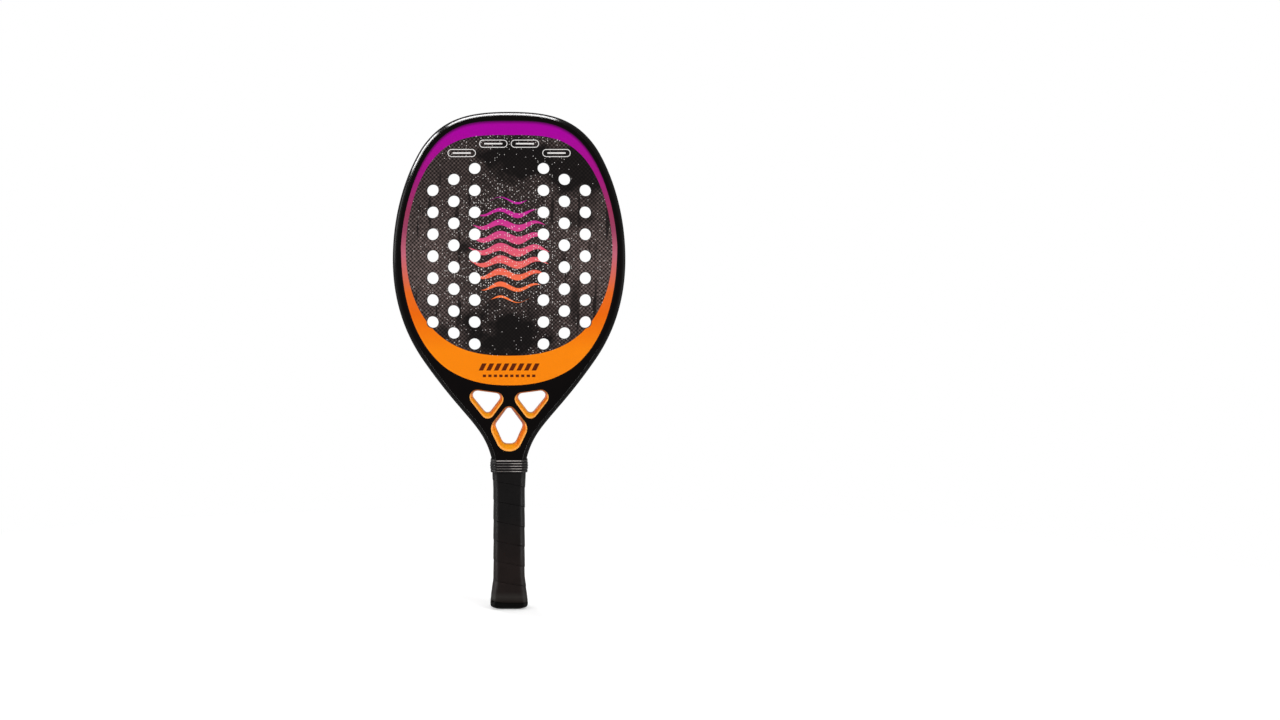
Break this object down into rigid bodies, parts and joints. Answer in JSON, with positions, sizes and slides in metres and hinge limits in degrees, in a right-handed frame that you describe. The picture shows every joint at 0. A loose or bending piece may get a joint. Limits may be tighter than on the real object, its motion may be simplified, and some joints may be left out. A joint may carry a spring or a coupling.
{
  "type": "beach tennis racket",
  "caption": "Beach tennis racket: hollow bevelled frame, foam-cored face with staggered round holes, lined throat windows, ribbed rubber collar and a tape-wound grip.",
  "frame": {"origin": "on the handle's axis, 75 mm above the butt end, in the middle of where a hand holds the grip", "axes": "+Z from the grip to the tip along the racket's length, +X to the right across the head seen from the front face, +Y through the thickness from the front face to the rear face"},
  "size_m": [0.2344, 0.0338, 0.5],
  "materials": {
    "frame_lacquer": "gloss",
    "face_laminate": "satin",
    "foam": "matte",
    "window_liner": "satin",
    "pallet": "matte",
    "butt_cap": "satin",
    "staple": "satin",
    "grip_tape": "matte",
    "finishing_band": "satin",
    "collar_rubber": "satin"
  },
  "bodies": {
    "root": {"frame_tube": "frame_lacquer", "eva_core": "foam", "face_skin_front": "face_laminate", "face_skin_rear": "face_laminate", "throat_core": "foam", "throat_skin_front": "frame_lacquer", "throat_skin_rear": "frame_lacquer", "window_liner_left": "window_liner", "window_liner_right": "window_liner", "window_liner_lower": "window_liner", "tube_plug_left": "foam", "tube_plug_right": "foam", "handle_core": "foam", "handle_pallet_front": "pallet", "handle_pallet_rear": "pallet", "butt_cap": "butt_cap", "butt_staple_1": "staple", "butt_staple_2": "staple", "butt_staple_3": "staple", "butt_staple_4": "staple", "base_grip": "grip_tape", "finishing_band": "finishing_band", "grip_collar": "collar_rubber"}
  },
  "joints": []
}
